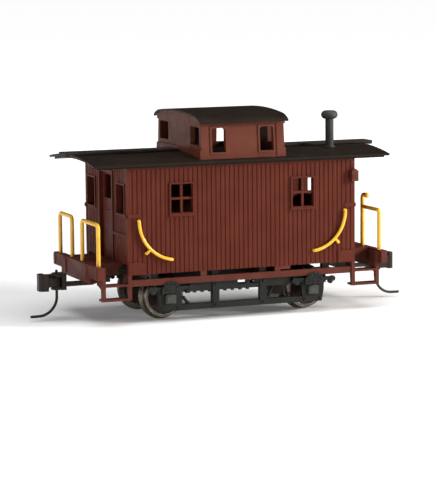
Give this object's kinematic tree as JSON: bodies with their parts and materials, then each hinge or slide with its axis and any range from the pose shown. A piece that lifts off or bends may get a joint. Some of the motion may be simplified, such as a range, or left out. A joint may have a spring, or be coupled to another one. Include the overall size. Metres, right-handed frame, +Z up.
{
  "type": "model caboose",
  "caption": "Four-wheel model railway caboose with a boarded body, full-width cupola, end platforms with yellow railings, turning wheels and working knuckle couplers.",
  "frame": {"origin": "on the centre line of the car, midway between the ends, at the height of the bottoms of the wheel flanges (the rail top is 0.7 mm higher)", "axes": "+X along the car towards the b end, which has the stove pipe and the brake staff; +Y across the car towards the far side; +Z up"},
  "size_m": [0.095, 0.033, 0.0482],
  "materials": {
    "body_red": "satin",
    "roof_black": "matte",
    "frame_black": "satin",
    "stove_pipe": "matte",
    "rail_yellow": "gloss",
    "coupler_plastic": "satin",
    "trip_pin_wire": "satin",
    "wheel_red": "satin",
    "tyre_metal": "polished",
    "axle_steel": "satin",
    "screw_steel": "satin",
    "ballast_steel": "satin"
  },
  "bodies": {
    "car_body": {"body_shell": "body_red", "roof": "roof_black", "running_board_a": "roof_black", "running_board_b": "roof_black", "cupola": "body_red", "cupola_roof": "roof_black", "smokestack": "stove_pipe", "marker_lamps": "body_red", "grab_iron_a_near": "rail_yellow", "grab_iron_a_far": "rail_yellow", "grab_iron_b_near": "rail_yellow", "grab_iron_b_far": "rail_yellow", "end_rail_a_near": "rail_yellow", "end_rail_a_far": "rail_yellow", "end_rail_b_near": "rail_yellow", "end_rail_b_far": "rail_yellow", "platform_a": "body_red", "platform_b": "body_red", "steps_a_near": "body_red", "steps_a_far": "body_red", "steps_b_near": "body_red", "steps_b_far": "body_red", "side_sill_near": "body_red", "side_sill_far": "body_red", "chassis": "frame_black", "ballast_weight": "ballast_steel", "side_frame_near": "frame_black", "side_frame_far": "frame_black", "leaf_springs": "frame_black", "journal_lids": "frame_black", "brake_cylinder": "frame_black", "brake_rigging": "frame_black", "draft_box_a": "frame_black", "draft_box_b": "frame_black", "draft_cover_a": "frame_black", "draft_cover_b": "frame_black", "coupler_screws": "screw_steel"},
    "wheelset_a": {"axle_a": "axle_steel", "tyres_a": "tyre_metal", "wheel_centres_a": "wheel_red"},
    "wheelset_b": {"axle_b": "axle_steel", "tyres_b": "tyre_metal", "wheel_centres_b": "wheel_red"},
    "coupler_body_a": {"coupler_a": "coupler_plastic"},
    "coupler_body_b": {"coupler_b": "coupler_plastic"},
    "knuckle_body_a": {"knuckle_a": "coupler_plastic", "trip_pin_a": "trip_pin_wire"},
    "knuckle_body_b": {"knuckle_b": "coupler_plastic", "trip_pin_b": "trip_pin_wire"}
  },
  "joints": [
    {"name": "wheelset_a_spin", "type": "hinge", "parent": "car_body", "child": "wheelset_a", "pos_m": [-0.018, 0, 0.0055], "axis": [0, 1, 0], "continuous": true},
    {"name": "coupler_a_swing", "type": "hinge", "parent": "car_body", "child": "coupler_body_a", "pos_m": [-0.0315, 0, 0.0085], "axis": [0, 0, 1], "range_deg": [-10, 10], "stiffness_Nm_per_rad": 0.0002},
    {"name": "knuckle_a_open", "type": "hinge", "parent": "coupler_body_a", "child": "knuckle_body_a", "pos_m": [-0.041, 0, 0.0092], "axis": [0, 0, 1], "range_deg": [0, 35], "stiffness_Nm_per_rad": 0.0001},
    {"name": "wheelset_b_spin", "type": "hinge", "parent": "car_body", "child": "wheelset_b", "pos_m": [0.018, 0, 0.0055], "axis": [0, 1, 0], "continuous": true},
    {"name": "coupler_b_swing", "type": "hinge", "parent": "car_body", "child": "coupler_body_b", "pos_m": [0.0315, 0, 0.0085], "axis": [0, 0, 1], "range_deg": [-10, 10], "stiffness_Nm_per_rad": 0.0002},
    {"name": "knuckle_b_open", "type": "hinge", "parent": "coupler_body_b", "child": "knuckle_body_b", "pos_m": [0.041, 0, 0.0092], "axis": [0, 0, 1], "range_deg": [0, 35], "stiffness_Nm_per_rad": 0.0001}
  ]
}
